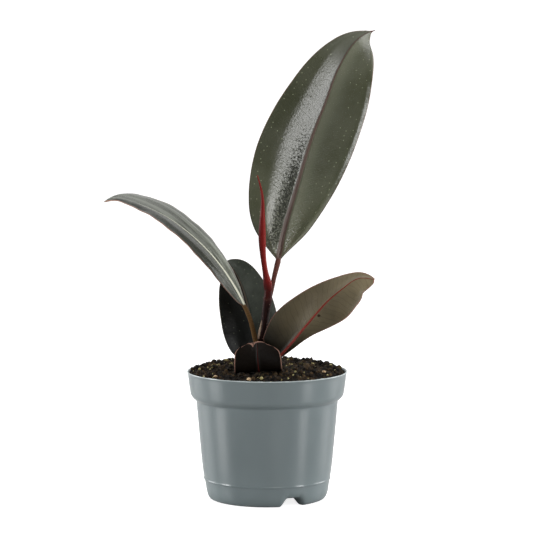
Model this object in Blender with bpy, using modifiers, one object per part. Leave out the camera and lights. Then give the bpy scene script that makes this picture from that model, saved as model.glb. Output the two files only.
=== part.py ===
"""Potted rubber plant: a young Ficus elastica in a thermoformed nursery pot.

All driving dimensions below are in millimetres, in a frame whose Z axis is the pot's own axis and whose
XY plane is the ground. The front of the plant faces -Y. The finished model is in metres, and its root
empty is shifted so that the whole plant is centred over the origin.
"""

import math
import random

import bmesh
import bpy
import numpy as np
from mathutils import Vector

MM = 0.001
CLEARANCE = 0.3  # air gap between neighbouring pieces

# Pot: a turned, thin-walled shell standing on a ring foot that three arched channels interrupt.
WALL = 0.9
POT_STEPS = 72
CHANNEL_AZIMUTHS = (26.5, 146.5, 266.5)  # from the front (-Y), turning towards +X
CHANNEL_HALF_WIDTH = 14.0  # degrees
CHANNEL_SHOULDER = 8.0  # degrees over which each arch springs
CHANNEL_HEIGHT = 6.2
CHANNEL_FADE = 15.0  # height at which the wall no longer follows the arches
FOOT_MIDDLE_RADIUS = 38.0
FOOT_INNER_RADIUS = 33.0
HUB_RADIUS = 27.0
FLOOR_HEIGHT = 5.0
POT_PROFILE = (  # radius, height: down the outside of the pot, then in along its base
    (59.4, 95.3),
    (59.4, 94.4),
    (58.7, 93.6),
    (57.8, 85.6),
    (56.7, 78.2),
    (55.3, 76.0),
    (52.5, 73.8),
    (50.4, 50.0),
    (48.2, 26.0),
    (46.9, 16.2),
    (47.1, 15.3),
    (46.5, 14.4),
    (45.2, 6.0),
    (44.0, 2.4),
    (42.6, 0.7),
    (40.6, 0.0),
    (36.0, 0.0),
    (34.0, 1.4),
    (31.0, 4.2),
    (27.0, FLOOR_HEIGHT),
    (0.0, FLOOR_HEIGHT),
)
DRAIN_DIAMETER = 8.0
DRAIN_CIRCLE_RADIUS = 18.0

# Soil: fills the pot to the brim, a little higher at the back than at the front.
SOIL_PROFILE = (  # radius, height: down the flank, then in along the bottom
    (57.2, 94.3),
    (56.4, 86.0),
    (55.1, 78.4),
    (51.1, 74.4),
    (48.9, 50.0),
    (46.7, 26.0),
    (45.1, 14.8),
    (43.7, 6.4),
    (42.2, 2.6),
    (40.4, 1.4),
    (36.4, 1.4),
    (32.4, 5.2),
    (27.2, 6.4),
    (0.0, 6.4),
)
SOIL_BASE_HEIGHT = 1.4  # the soil's underside above the pot's underside
SOIL_ARCH_SPREAD = 3.0  # degrees by which the soil clears each side of an arch
SOIL_RINGS = 6
SOIL_LEVEL = 94.7
SOIL_RISE = 2.2  # from the pot's axis to its back wall
SOIL_ROUGHNESS = 0.45

# Stem: leans a little, and is rooted in the soil by a tapering stub.
STEM_PATH = (  # x, y, z, radius
    (-5.4, 0.0, 68.0, 1.6),
    (-5.2, 0.0, 83.0, 2.6),
    (-5.0, 0.0, 96.0, 3.4),
    (-4.4, 0.0, 107.5, 3.3),
    (-2.8, 0.0, 123.5, 3.1),
    (-0.9, 0.0, 139.5, 3.0),
    (0.7, 0.0, 151.6, 3.0),
    (0.9, 0.0, 154.4, 2.7),
)
STEM_HOLE_GAP = 0.5

# Sheath: the slim red stipule that wraps the next leaf.
SHEATH_PATH = (
    (0.9, -0.1, 155.5, 2.7),
    (0.4, -0.3, 159.3, 3.1),
    (-0.7, -0.8, 165.3, 2.4),
    (-1.9, -1.4, 172.3, 2.0),
    (-3.2, -2.0, 183.3, 2.3),
    (-3.7, -2.4, 193.3, 2.8),
    (-3.6, -2.6, 203.3, 2.5),
    (-3.4, -2.8, 213.3, 1.8),
    (-3.5, -3.0, 223.3, 1.2),
    (-5.0, -3.2, 232.3, 0.7),
    (-7.2, -3.4, 240.3, 0.35),
)

# Dry stipule: a withered strip that still stands beside the stem.
DRY_STIPULE_PATH = (
    (-6.4, -4.8, 119.8, 0.5),
    (-5.6, -4.9, 125.3, 0.8),
    (-4.6, -4.7, 129.8, 0.7),
    (-4.0, -4.4, 133.3, 0.3),
)

# Leaves. A leaf is one loft along its spine: a round petiole that flattens into a thin blade.
ACROSS = 7  # points across each face of a blade
BLADE_THICKNESS = 0.8
MARGIN_THICKNESS = 0.45
PETIOLE_STATIONS = 5
BLADE_STATIONS = 20
LEAVES = {
    # spine: x, y, z; the blade starts at the knot numbered blade_from
    # blade: share of the blade's length, left and right half-widths, seen facing the upper side
    # facing: direction of the upper side at the base and at the tip
    # fold: degrees by which the left and right halves rise towards the upper side, at the base and at the tip
    "leaf_top": {
        "spine": (
            (3.2, 4.1, 154.0), (4.6, 5.0, 161.5), (7.9, 8.2, 175.2), (12.0, 14.0, 194.5), (18.4, 20.0, 217.1),
            (24.9, 26.0, 238.5), (36.5, 35.0, 273.8), (44.2, 39.5, 293.0), (50.7, 43.8, 310.8),
            (56.9, 47.6, 323.6), (63.5, 51.0, 333.6), (71.5, 54.2, 341.0), (81.1, 57.0, 345.2),
        ),
        "blade_from": 2,
        "petiole": (1.5, 2.1),
        "blade": (
            (0.0, 0.0, 0.0), (0.04, 9.0, 6.0), (0.1, 21.6, 15.9), (0.2, 32.3, 25.9), (0.3, 36.6, 33.0),
            (0.4, 37.9, 37.7), (0.5, 36.3, 39.7), (0.6, 33.2, 39.1), (0.7, 28.6, 36.6), (0.8, 21.2, 31.5),
            (0.88, 13.5, 23.5), (0.93, 7.0, 14.3), (0.96, 3.0, 6.3), (1.0, 0.4, 0.4),
        ),
        "facing": ((-0.15, -1.0, 0.2), (-0.25, -1.0, 0.25)),
        "fold": ((14, 24), (14, 24)),
        "colour": (0.032, 0.042, 0.034, 1.0),
    },
    "leaf_left": {
        "spine": (
            (-8.2, -2.4, 117.2), (-12.9, -1.2, 134.5), (-16.2, -0.1, 142.0), (-30.8, 2.0, 167.3),
            (-49.2, 3.0, 189.0), (-63.0, 3.5, 200.9), (-75.9, 4.0, 209.7), (-90.5, 4.0, 216.6),
            (-99.7, 4.0, 220.0), (-110.0, 4.5, 222.0), (-120.5, 5.0, 220.2),
        ),
        "blade_from": 2,
        "petiole": (1.8, 1.6),
        "blade": (
            (0.0, 0.0, 0.0), (0.05, 5.0, 3.0), (0.1, 8.0, 5.5), (0.2, 13.0, 10.0), (0.3, 17.0, 15.0),
            (0.4, 20.5, 19.5), (0.5, 22.5, 23.5), (0.6, 23.0, 26.5), (0.7, 21.0, 28.0), (0.8, 15.0, 27.0),
            (0.88, 9.5, 22.5), (0.94, 5.0, 14.5), (1.0, 0.4, 0.4),
        ),
        "facing": ((0.0, -0.45, 1.0), (0.5, -0.05, 1.0)),
        "fold": ((7, 7), (7, 7)),
        "colour": (0.085, 0.11, 0.085, 1.0),
    },
    "leaf_back": {
        "spine": (
            (-5.6, 4.2, 97.6), (-6.6, 9.0, 99.8), (-9.4, 14.5, 112.3), (-12.0, 19.5, 127.3),
            (-15.0, 25.5, 142.5), (-19.5, 31.5, 156.0), (-25.0, 37.0, 166.0), (-32.5, 43.0, 172.5),
        ),
        "blade_from": 1,
        "petiole": (1.7, 1.6),
        "blade": (
            (0.0, 0.0, 0.0), (0.04, 9.5, 7.0), (0.1, 17.0, 12.0), (0.2, 21.5, 17.0), (0.3, 22.8, 19.5),
            (0.4, 22.8, 20.5), (0.5, 22.3, 20.0), (0.6, 21.0, 18.5), (0.7, 18.5, 16.5), (0.8, 14.5, 13.8),
            (0.9, 8.0, 8.8), (1.0, 0.4, 0.4),
        ),
        "facing": ((0.2, -1.0, 0.3), (-0.2, -1.0, 0.6)),
        "fold": ((14, 14), (14, 14)),
        "colour": (0.045, 0.06, 0.05, 1.0),
    },
    "leaf_right": {
        "spine": (
            (-1.5, -2.9, 102.4), (4.5, -8.0, 104.3), (11.6, -12.0, 110.5), (23.0, -17.0, 124.3),
            (35.4, -22.0, 139.6), (45.7, -27.0, 151.4), (56.7, -32.0, 161.1), (66.5, -36.0, 167.6),
            (77.6, -40.5, 167.4),
        ),
        "blade_from": 1,
        "petiole": (1.7, 1.5),
        "blade": (
            (0.0, 0.0, 0.0), (0.05, 3.2, 14.5), (0.1, 5.0, 19.0), (0.2, 7.0, 22.5), (0.3, 9.4, 24.0),
            (0.4, 13.4, 23.3), (0.5, 17.0, 21.6), (0.6, 18.3, 19.4), (0.7, 17.4, 16.4), (0.8, 14.9, 12.0),
            (0.88, 12.1, 7.6), (0.94, 9.5, 4.6), (0.98, 5.8, 2.4), (1.0, 3.0, 1.0),
        ),
        "facing": ((-1.2, 1.0, -0.6), (0.6, 1.0, -0.6)),
        "fold": ((26, 26), (26, 26)),
        "colour": (0.13, 0.1, 0.075, 1.0),
    },
    "leaf_front": {
        "spine": (
            (-5.0, -4.2, 99.2), (-5.2, -9.0, 98.3), (-5.5, -15.0, 97.5), (-6.0, -20.0, 98.3),
            (-6.6, -22.8, 103.4), (-7.1, -22.8, 111.0), (-7.6, -21.0, 119.8),
        ),
        "blade_from": 1,
        "petiole": (1.6, 1.5),
        "blade": (
            (0.0, 0.0, 0.0), (0.05, 10.0, 11.0), (0.12, 15.0, 16.5), (0.22, 16.6, 18.0),
            (0.35, 17.0, 18.0), (0.5, 17.2, 17.8), (0.65, 17.0, 17.6), (0.8, 16.0, 17.2),
            (0.9, 14.0, 16.0), (0.96, 11.6, 14.0), (1.0, 8.0, 10.5),
        ),
        "facing": ((0.0, 0.3, 1.0), (0.0, 1.0, 0.1)),
        "fold": ((-10, -10), (24, 24)),
        "colour": (0.05, 0.035, 0.03, 1.0),
    },
}

# Loose bits on the soil: bearing from the front (degrees towards +X), distance from the pot's axis,
# length, width and height.
PERLITE = (
    (-6.0, 41.0, 4.0, 3.2, 3.2),
    (3.0, 52.5, 2.4, 2.2, 2.0),
    (-155.0, 11.0, 2.8, 2.4, 2.2),
    (-118.0, 41.0, 2.6, 2.4, 2.0),
    (-91.0, 50.0, 3.0, 2.4, 2.2),
    (-141.0, 50.0, 3.0, 2.6, 2.2),
    (159.0, 44.0, 3.0, 2.4, 2.2),
    (126.0, 42.5, 2.6, 2.4, 2.0),
    (110.0, 50.5, 3.0, 2.4, 2.2),
    (88.0, 50.5, 2.8, 2.4, 2.0),
)
BARK_CHIPS = (
    (-17.0, 45.0, 7.0, 4.0, 3.0),
    (76.0, 43.0, 6.0, 3.2, 2.2),
    (-52.0, 48.0, 5.5, 3.0, 2.0),
)
SEED = 12

COLOURS = {
    "pot": (0.24, 0.31, 0.34, 1.0),
    "soil": (0.028, 0.018, 0.012, 1.0),
    "stem": (0.09, 0.035, 0.03, 1.0),
    "sheath": (0.36, 0.035, 0.045, 1.0),
    "dry_stipule": (0.55, 0.42, 0.28, 1.0),
    "perlite": (0.62, 0.6, 0.44, 1.0),
    "bark": (0.5, 0.34, 0.2, 1.0),
}


def clear_scene():
    for obj in list(bpy.data.objects):
        bpy.data.objects.remove(obj, do_unlink=True)
    for collection in list(bpy.data.collections):
        bpy.data.collections.remove(collection)


def make_collection(name):
    collection = bpy.data.collections.new(name)
    bpy.context.scene.collection.children.link(collection)
    return collection


def make_material(name, colour, roughness):
    material = bpy.data.materials.new(name)
    material.use_nodes = True
    shader = material.node_tree.nodes["Principled BSDF"]
    shader.inputs["Base Color"].default_value = colour
    shader.inputs["Roughness"].default_value = roughness
    shader.inputs["Metallic"].default_value = 0.0
    material.diffuse_color = colour
    return material


def add_object(name, data, collection, parent, material):
    obj = bpy.data.objects.new(name, data)
    collection.objects.link(obj)
    obj.parent = parent
    data.materials.append(material)
    return obj


def shade(mesh):
    mesh.shade_smooth()
    mesh.set_sharp_from_angle(angle=math.radians(40))


# ---------------------------------------------------------------- curves through a few knots


def natural_cubic(x, y, at):
    """Values at the parameters `at` of the natural cubic spline through the knots (x, y)."""
    count = len(x)
    step = np.diff(x)
    system = np.eye(count)
    right = np.zeros((count,) + y.shape[1:])
    for i in range(1, count - 1):
        system[i, i - 1] = step[i - 1]
        system[i, i] = 2 * (step[i - 1] + step[i])
        system[i, i + 1] = step[i]
        right[i] = 6 * ((y[i + 1] - y[i]) / step[i] - (y[i] - y[i - 1]) / step[i - 1])
    bend = np.linalg.solve(system, right)
    values = []
    for a in at:
        i = min(max(int(np.searchsorted(x, a)) - 1, 0), count - 2)
        h = step[i]
        before = x[i + 1] - a
        after = a - x[i]
        curved = (bend[i] * before**3 + bend[i + 1] * after**3) / (6 * h)
        straight = (y[i] / h - bend[i] * h / 6) * before + (y[i + 1] / h - bend[i + 1] * h / 6) * after
        values.append(curved + straight)
    return np.array(values)


def chord_reach(knots):
    """Share of the total chord length at which each knot lies."""
    steps = np.linalg.norm(np.diff(knots, axis=0), axis=1)
    reach = np.concatenate([[0.0], np.cumsum(steps)])
    return reach / reach[-1]


def unit(vectors):
    return vectors / np.linalg.norm(vectors, axis=-1, keepdims=True)


def along(knots, at):
    return natural_cubic(chord_reach(knots), knots, at)


def bearing_of(x, y):
    """Degrees from the front (-Y), turning towards +X."""
    return math.degrees(math.atan2(x, -y))


# ---------------------------------------------------------------- pot and soil


def smooth_step(t):
    t = min(max(t, 0.0), 1.0)
    return t * t * (3 - 2 * t)


def arch(x, y, z, spread=0.0):
    """How far the arched channels lift a point of the pot's base or lower wall."""
    bearing = bearing_of(x, y)
    off = min(abs((bearing - c + 180) % 360 - 180) for c in CHANNEL_AZIMUTHS) - spread
    across = smooth_step((CHANNEL_HALF_WIDTH - off) / CHANNEL_SHOULDER)
    inward = smooth_step((math.hypot(x, y) - HUB_RADIUS) / (FOOT_INNER_RADIUS - HUB_RADIUS))
    on_wall = math.hypot(x, y) > FOOT_MIDDLE_RADIUS
    lift = CHANNEL_HEIGHT * max(0.0, 1 - z / CHANNEL_FADE) if on_wall else max(0.0, CHANNEL_HEIGHT - z)
    return across * inward * lift


def turned(name, profile, steps, start):
    """Closed or open turned surface about Z: a profile swept by a Screw, as a mesh in metres."""
    mesh = bpy.data.meshes.new(name)
    turn = math.radians(start - 90)
    points = [(r * MM * math.cos(turn), r * MM * math.sin(turn), z * MM) for r, z in profile]
    mesh.from_pydata(points, [(i, i + 1) for i in range(len(points) - 1)], [])
    guide = bpy.data.objects.new(name + "_profile", mesh)
    bpy.context.scene.collection.objects.link(guide)
    screw = guide.modifiers.new("Screw", "SCREW")
    screw.steps = steps
    screw.render_steps = steps
    screw.use_merge_vertices = True
    screw.merge_threshold = 0.00001
    graph = bpy.context.evaluated_depsgraph_get()
    swept = bpy.data.meshes.new_from_object(guide.evaluated_get(graph))
    bpy.data.objects.remove(guide)
    swept.name = name
    return swept


def make_pot(collection, cutters, parent):
    mesh = turned("pot", POT_PROFILE, POT_STEPS, CHANNEL_AZIMUTHS[0])
    for vertex in mesh.vertices:
        x, y, z = vertex.co / MM
        vertex.co.z += arch(x, y, z) * MM
    pot = add_object("pot", mesh, collection, parent, make_material("pot_plastic", COLOURS["pot"], 0.35))
    wall = pot.modifiers.new("Wall", "SOLIDIFY")
    wall.thickness = WALL * MM
    wall.offset = -1.0
    wall.use_even_offset = True
    holes = [(0.0, 0.0)]
    for azimuth in CHANNEL_AZIMUTHS:
        turn = math.radians(azimuth - 90)
        holes.append((DRAIN_CIRCLE_RADIUS * math.cos(turn), DRAIN_CIRCLE_RADIUS * math.sin(turn)))
    for index, (x, y) in enumerate(holes):
        bpy.ops.mesh.primitive_cylinder_add(
            vertices=16, radius=DRAIN_DIAMETER * MM / 2, depth=6 * MM, location=(x * MM, y * MM, FLOOR_HEIGHT * MM)
        )
        cutter = bpy.context.object
        cutter.name = f"drain_cutter_{index + 1}"
        for owner in list(cutter.users_collection):
            owner.objects.unlink(cutter)
        cutters.objects.link(cutter)
        cutter.parent = parent
        cutter.hide_render = True
        cutter.display_type = "WIRE"
        hole = pot.modifiers.new(f"Drain {index + 1}", "BOOLEAN")
        hole.operation = "DIFFERENCE"
        hole.solver = "EXACT"
        hole.object = cutter
    shade(mesh)
    return pot


def soil_height(x, y):
    """Height of the soil's uneven surface over a point, in millimetres."""
    slope = SOIL_RISE * y / 56
    bumps = math.sin(0.21 * x + 0.9) * math.cos(0.17 * y) + 0.7 * math.sin(0.33 * y - 0.19 * x + 2.0)
    return SOIL_LEVEL + slope + SOIL_ROUGHNESS * bumps * 0.6


def make_soil(collection, parent):
    rim_radius, rim_height = SOIL_PROFILE[0]
    top = [(rim_radius * i / SOIL_RINGS, rim_height + 1) for i in range(SOIL_RINGS)]
    profile = top + list(SOIL_PROFILE)
    mesh = turned("soil", profile, POT_STEPS, CHANNEL_AZIMUTHS[0])
    for vertex in mesh.vertices:
        x, y, z = vertex.co / MM
        if z > rim_height - 0.1:
            edge = smooth_step((math.hypot(x, y) - 50) / (rim_radius - 50))
            vertex.co.z = (soil_height(x, y) - 0.3 * edge) * MM
        else:
            vertex.co.z += arch(x, y, z - SOIL_BASE_HEIGHT, SOIL_ARCH_SPREAD) * MM
    soil = add_object("soil", mesh, collection, parent, make_material("potting_soil", COLOURS["soil"], 0.95))
    shade(mesh)
    return soil


# ---------------------------------------------------------------- stem, sheath and stipule


def make_rod(name, path, collection, parent, material, count, sides):
    """A round rod of varying radius: a poly curve along a smooth path, as a closed mesh."""
    knots = np.array(path, float)
    points = along(knots, np.linspace(0, 1, count))
    curve = bpy.data.curves.new(name, "CURVE")
    curve.dimensions = "3D"
    curve.bevel_depth = MM
    curve.bevel_resolution = sides
    curve.use_fill_caps = True
    spline = curve.splines.new("POLY")
    spline.points.add(count - 1)
    for point, (x, y, z, radius) in zip(spline.points, points):
        point.co = (x * MM, y * MM, z * MM, 1.0)
        point.radius = radius
    guide = bpy.data.objects.new(name + "_path", curve)
    bpy.context.scene.collection.objects.link(guide)
    graph = bpy.context.evaluated_depsgraph_get()
    mesh = bpy.data.meshes.new_from_object(guide.evaluated_get(graph))
    bpy.data.objects.remove(guide)
    shell = bmesh.new()
    shell.from_mesh(mesh)
    bmesh.ops.remove_doubles(shell, verts=shell.verts, dist=1e-6)
    bmesh.ops.recalc_face_normals(shell, faces=shell.faces)
    shell.to_mesh(mesh)
    shell.free()
    mesh.materials.clear()
    obj = add_object(name, mesh, collection, parent, material)
    shade(mesh)
    return obj


def cut_stem_hole(soil, cutters, parent):
    """The clearance in the soil for the buried end of the stem."""
    buried = [(x, y, z - STEM_HOLE_GAP, radius + STEM_HOLE_GAP) for x, y, z, radius in STEM_PATH[:4]]
    cutter = make_rod(
        "stem_hole_cutter", buried, cutters, parent, make_material("cutter", (0.8, 0.2, 0.2, 1), 0.5), 6, 3
    )
    cutter.hide_render = True
    cutter.display_type = "WIRE"
    hole = soil.modifiers.new("Stem hole", "BOOLEAN")
    hole.operation = "DIFFERENCE"
    hole.solver = "EXACT"
    hole.object = cutter


# ---------------------------------------------------------------- leaves


def leaf_sections(leaf):
    """One ring of points for each station, from the foot of the petiole to the tip of the blade."""
    spine = np.array(leaf["spine"], float)
    start = chord_reach(spine)[leaf["blade_from"]]
    petiole = np.linspace(0, start, PETIOLE_STATIONS, endpoint=False)
    blade = start + (1 - start) * (0.5 - 0.5 * np.cos(np.linspace(0, math.pi, BLADE_STATIONS)))
    stations = np.concatenate([petiole, blade])
    e = 1e-3
    points = along(spine, stations)
    tangents = unit(along(spine, stations + e) - along(spine, stations - e))
    share = np.clip((stations - start) / (1 - start), 0, 1)
    outline = np.array(leaf["blade"], float)
    halves = np.maximum(natural_cubic(outline[:, 0], outline[:, 1:], share), 0).T
    facing = np.array(leaf["facing"], float)
    folds = np.radians(np.array(leaf["fold"], float))
    rings = []
    for i, s in enumerate(share):
        face = facing[0] + (facing[1] - facing[0]) * stations[i]
        across = unit(np.cross(tangents[i], face))
        up = unit(np.cross(across, tangents[i]))
        radius = np.interp(s, (0, 1), (leaf["petiole"][1], 0.25))
        if stations[i] < start:
            radius = np.interp(stations[i] / start, (0, 1), leaf["petiole"])
        fold = folds[0] + (folds[1] - folds[0]) * s
        ring = []
        for k in range(2 * ACROSS):
            upper = k < ACROSS
            turn = math.pi * (1 - (k + 0.5) / ACROSS)
            round_x, round_z = radius * math.cos(turn), radius * math.sin(turn)
            j = k if upper else 2 * ACROSS - 1 - k
            u = 2 * j / (ACROSS - 1) - 1
            side = 0 if u < 0 else 1
            width = max(halves[side][i], radius * 0.6)
            flat_x = width * u * math.cos(fold[side])
            lift = width * abs(u) * math.sin(fold[side])
            half = 0.5 * np.interp(abs(u), (0, 1), (BLADE_THICKNESS, MARGIN_THICKNESS))
            rib = radius * 1.1 * max(0.0, 1 - abs(u) * width / (1.6 * radius)) if not upper else 0.0
            flat_z = lift + (half if upper else -half - rib)
            blend = smooth_step(max(halves[0][i], halves[1][i]) / (2.5 * leaf["petiole"][1]))
            x = round_x + (flat_x - round_x) * blend
            z = round_z + (flat_z - round_z) * blend
            ring.append(points[i] + across * x + up * z)
        rings.append(ring)
    return rings


def make_leaf(name, leaf, collection, parent):
    shell = bmesh.new()
    rings = [[shell.verts.new(Vector(point) * MM) for point in ring] for ring in leaf_sections(leaf)]
    count = len(rings[0])
    for lower, upper in zip(rings[:-1], rings[1:]):
        for k in range(count):
            shell.faces.new((lower[k], lower[(k + 1) % count], upper[(k + 1) % count], upper[k]))
    shell.faces.new(rings[0])
    shell.faces.new(rings[-1])
    bmesh.ops.recalc_face_normals(shell, faces=shell.faces)
    mesh = bpy.data.meshes.new(name)
    shell.to_mesh(mesh)
    shell.free()
    obj = add_object(name, mesh, collection, parent, make_material(name, leaf["colour"], 0.3))
    mesh.shade_smooth()
    mesh.set_sharp_from_angle(angle=math.radians(60))
    return obj


# ---------------------------------------------------------------- loose bits on the soil


def make_bit(name, bit, collection, parent, material, rng):
    """A rough grain resting on the soil."""
    bearing, distance, length, width, height = bit
    turn = math.radians(bearing - 90)
    x, y = distance * math.cos(turn), distance * math.sin(turn)
    grain = bmesh.new()
    bmesh.ops.create_icosphere(grain, subdivisions=1, radius=0.5)
    spin = rng.uniform(0, math.pi)
    ground = max(
        soil_height(x + dx, y + dy) for dx in (-length / 2, 0, length / 2) for dy in (-length / 2, 0, length / 2)
    )
    for vertex in grain.verts:
        co = vertex.co * rng.uniform(0.85, 1.0)
        along_x, along_y = co.x * length, co.y * width
        vertex.co = Vector(
            (
                x + along_x * math.cos(spin) - along_y * math.sin(spin),
                y + along_x * math.sin(spin) + along_y * math.cos(spin),
                ground + CLEARANCE + height / 2 + co.z * height,
            )
        ) * MM
    mesh = bpy.data.meshes.new(name)
    grain.to_mesh(mesh)
    grain.free()
    return add_object(name, mesh, collection, parent, material)


def centre_over_origin(root):
    """Moves the root so that the model's bounding box is centred over the origin in X and Y."""
    bpy.context.view_layer.update()
    graph = bpy.context.evaluated_depsgraph_get()
    corners = []
    for obj in root.children:
        if not obj.hide_render:
            solid = obj.evaluated_get(graph)
            corners += [solid.matrix_world @ vertex.co for vertex in solid.data.vertices]
    for axis in (0, 1):
        values = [corner[axis] for corner in corners]
        root.location[axis] = -(min(values) + max(values)) / 2


def main():
    clear_scene()
    rng = random.Random(SEED)
    plant = make_collection("potted_rubber_plant")
    cutters = make_collection("cutters")
    root = bpy.data.objects.new("rubber_plant_root", None)
    plant.objects.link(root)

    make_pot(plant, cutters, root)
    soil = make_soil(plant, root)
    make_rod("stem", STEM_PATH, plant, root, make_material("stem_bark", COLOURS["stem"], 0.55), 20, 3)
    cut_stem_hole(soil, cutters, root)
    make_rod(
        "terminal_sheath", SHEATH_PATH, plant, root, make_material("sheath", COLOURS["sheath"], 0.3), 26, 3
    )
    make_rod(
        "dry_stipule", DRY_STIPULE_PATH, plant, root, make_material("dry_stipule", COLOURS["dry_stipule"], 0.8), 8, 1
    )
    for name, leaf in LEAVES.items():
        make_leaf(name, leaf, plant, root)
    perlite = make_material("perlite", COLOURS["perlite"], 0.9)
    for index, bit in enumerate(PERLITE):
        make_bit(f"perlite_{index + 1:02d}", bit, plant, root, perlite, rng)
    bark = make_material("bark", COLOURS["bark"], 0.85)
    for index, bit in enumerate(BARK_CHIPS):
        make_bit(f"bark_chip_{index + 1:02d}", bit, plant, root, bark, rng)
    centre_over_origin(root)


main()
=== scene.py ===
"""Looks of the potted rubber plant: a young, dark Ficus elastica in a blue-grey thermoformed nursery pot.

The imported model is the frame. Every CAD node is replaced by a finer mesh of the same shape, worked out in
millimetres about the pot's own axis (Z up, the front of the plant facing -Y) and then moved into the frame.
Leaves carry their own surface coordinates as mesh attributes, and their materials are drawn in those.
"""

import math
from types import SimpleNamespace

import bmesh
import bpy
import numpy as np
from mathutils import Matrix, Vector, noise


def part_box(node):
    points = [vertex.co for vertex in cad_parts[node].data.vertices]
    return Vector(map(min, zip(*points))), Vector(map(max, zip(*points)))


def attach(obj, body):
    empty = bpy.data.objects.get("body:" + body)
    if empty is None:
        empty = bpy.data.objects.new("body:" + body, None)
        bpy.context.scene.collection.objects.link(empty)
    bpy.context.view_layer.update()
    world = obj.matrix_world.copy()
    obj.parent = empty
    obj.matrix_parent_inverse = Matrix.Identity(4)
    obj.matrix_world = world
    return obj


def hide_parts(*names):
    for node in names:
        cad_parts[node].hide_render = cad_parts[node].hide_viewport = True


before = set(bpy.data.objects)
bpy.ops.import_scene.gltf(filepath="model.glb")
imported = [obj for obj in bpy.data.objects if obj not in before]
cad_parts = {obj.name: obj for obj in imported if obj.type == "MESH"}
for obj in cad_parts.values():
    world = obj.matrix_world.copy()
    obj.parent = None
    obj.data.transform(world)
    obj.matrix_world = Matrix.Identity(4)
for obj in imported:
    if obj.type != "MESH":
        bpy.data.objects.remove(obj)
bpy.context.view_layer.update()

MM = 0.001
ROOT = "root"
SEED = 20

# The pot's axis, in the frame: everything below is placed about it.
pot_low, pot_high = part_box("pot")
AXIS = Vector(((pot_low.x + pot_high.x) / 2, (pot_low.y + pot_high.y) / 2, pot_low.z))

# Camera and lamps, in millimetres about the pot's axis at ground level.
CAMERA_PLACE = (-0.5, -2200, 402.3)
CAMERA_TARGET = (-0.5, 0, 172.73)
CAMERA_LENS = 202.5
SENSOR = 36.0
LAMPS = {
    # bearing from the front (degrees towards +X), distance, height of its centre, width, height, radiance
    "key": (17.5, 1450, 790, 570, 540, 8.5),
    "left_strip": (-80, 1200, 290, 400, 560, 17),
    "right_strip": (61, 1200, 290, 280, 560, 17),
    "right_fill": (112, 1200, 290, 500, 560, 8),
    "left_fill": (-118, 1200, 290, 500, 560, 6.5),
    "overhead": (175, 450, 1500, 1000, 1000, 3),
}
LAMP_AIM = (0, 0, 190)
WHITE = (1.0, 1.0, 1.0)
STUDIO_RISE = (-0.2, 0.5)  # Y of the direction in which the studio starts and stops brightening
STUDIO_BRIGHTNESS = (0.04, 1.05)  # on the camera's side and behind the object
FLOOR_RADIUS = 40000.0
FLOOR_STEPS = 96
FLOOR_LEVEL = -0.05
FLOOR_GREY = (0.55, 0.55, 0.55)
FLOOR_GLOW = 0.85  # seen directly, the floor is as white as the studio behind it

# ---------------------------------------------------------------- shapes of the object, as in the CAD model

WALL = 0.9
POT_STEPS = 240
LIP_STEPS = 9
LONGEST_STRETCH = 3.0  # of the pot's section
CHANNEL_AZIMUTHS = (26.5, 146.5, 266.5)
CHANNEL_HALF_WIDTH = 14.0
CHANNEL_SHOULDER = 8.0
CHANNEL_HEIGHT = 6.2
CHANNEL_FADE = 15.0
FOOT_MIDDLE_RADIUS = 38.0
FOOT_INNER_RADIUS = 33.0
HUB_RADIUS = 27.0
FLOOR_HEIGHT = 5.0
POT_PROFILE = (  # radius, height, rounding: down the outside of the pot, then in along its base
    (59.35, 94.6, 0.3),
    (58.7, 93.5, 0.5),
    (57.8, 85.6, 1),
    (56.7, 78.2, 1.2),
    (55.3, 76, 1),
    (52.5, 73.8, 0.9),
    (50.4, 50, 3),
    (48.2, 26, 3),
    (46.85, 16.3, 0.4),
    (47.15, 15.3, 0.35),
    (46.45, 14.3, 0.4),
    (45.2, 6, 2),
    (44, 2.4, 1.2),
    (42.6, 0.7, 0.7),
    (40.6, 0, 0.7),
    (36, 0, 0.8),
    (34, 1.4, 0.8),
    (31, 4.2, 0.8),
    (27, FLOOR_HEIGHT, 0.8),
    (0, FLOOR_HEIGHT, 0),
)
LIP_WAVE = 0.22  # the trimmed lip is a little uneven
LIP_WAVE_FROM = 91.0
DRAIN_DIAMETER = 8.0
DRAIN_CIRCLE_RADIUS = 18.0
DRAIN_STEPS = 48
DRAIN_REACH = 4.0  # how far the cutter passes the floor's underside, up and down

SOIL_RINGS = 96
SOIL_STEPS = 240
SOIL_RADIUS = 57.4
SOIL_LEVEL = 94.7
SOIL_RISE = 2.2
SOIL_ROUGHNESS = 0.45
SOIL_UNDERSIDE = (  # radius, height: down the flank, then in along the bottom
    (57.2, 92),
    (56.4, 86),
    (55.1, 78.4),
    (51.1, 74.4),
    (48.9, 50),
    (46.7, 26),
    (45.1, 14.8),
    (43.7, 6.4),
    (42.2, 2.6),
    (40.4, 1.4),
    (36.4, 1.4),
    (32.4, 5.2),
    (27.2, 6.4),
    (0, 6.4),
)
SOIL_BASE_HEIGHT = 1.4
SOIL_ARCH_SPREAD = 3.0
CRUMBS = 1500
CRUMB_SPREAD = 56.3
SMALLEST_CRUMB = 0.9
CRUMB_RANGE = 3.4
STEM_CLEARING = 5.0  # no crumbs this near the stem
RIDGE_BEARINGS = range(94, 268, 5)  # larger crumbs along the pot's back edge
RIDGE_RADIUS = 54.6
GRIT = 60
GRIT_SPREAD = 55.5
FIBRES = 70
FIBRE_SPREAD = 52.0
FIBRE_RADIUS = 0.16
FIBRE_RINGS, FIBRE_SIDES = 9, 5

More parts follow.
